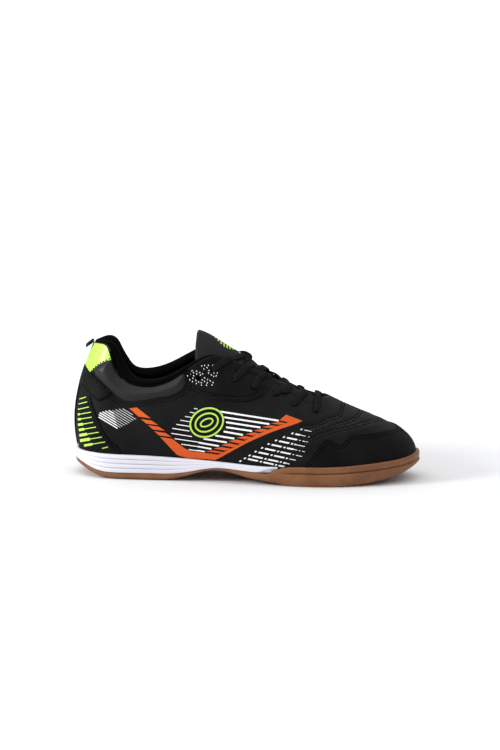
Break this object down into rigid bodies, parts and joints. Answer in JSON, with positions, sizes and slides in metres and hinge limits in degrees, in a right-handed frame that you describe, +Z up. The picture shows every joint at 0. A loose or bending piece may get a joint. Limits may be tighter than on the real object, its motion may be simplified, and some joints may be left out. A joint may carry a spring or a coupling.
{
  "type": "indoor soccer shoe",
  "caption": "Low-cut right indoor soccer shoe: black laced synthetic upper, padded collar, lime heel tab, white foam midsole and flat brown gum-rubber outsole that cups the toe",
  "frame": {"origin": "On the floor, under the middle of the flat of the heel", "axes": "+X to the toe, +Y to the inner side of the foot, +Z up"},
  "size_m": [0.2821, 0.1001, 0.1193],
  "materials": {
    "gum_rubber": "satin brown gum rubber",
    "white_foam": "matte white moulded foam",
    "black_synthetic": "matte black synthetic with printed stripes",
    "insole_fabric": "black woven cover on foam",
    "tongue_leather": "soft matte black synthetic over foam",
    "collar_textile": "black knitted textile over foam",
    "smooth_collar_leather": "smooth semi-gloss black synthetic over foam",
    "black_overlay": "matte black synthetic, stitched",
    "lime_patent": "glossy lime synthetic",
    "black_webbing": "woven black webbing",
    "black_lace": "flat woven black lace"
  },
  "bodies": {
    "root": {"outsole": "gum_rubber", "midsole": "white_foam", "upper": "black_synthetic", "insole": "insole_fabric", "tongue": "tongue_leather", "collar_lining": "collar_textile", "collar_panel_outer": "smooth_collar_leather", "collar_panel_inner": "smooth_collar_leather", "eyestay_outer": "black_overlay", "eyestay_inner": "black_overlay", "toe_guard": "black_overlay", "heel_counter": "black_overlay", "heel_tab_outer": "lime_patent", "heel_tab_inner": "lime_patent", "pull_loop": "black_webbing", "lace_crossing_1": "black_lace", "lace_crossing_2": "black_lace", "lace_crossing_3": "black_lace", "lace_crossing_4": "black_lace", "lace_crossing_5": "black_lace", "lace_bar": "black_lace"}
  },
  "joints": []
}
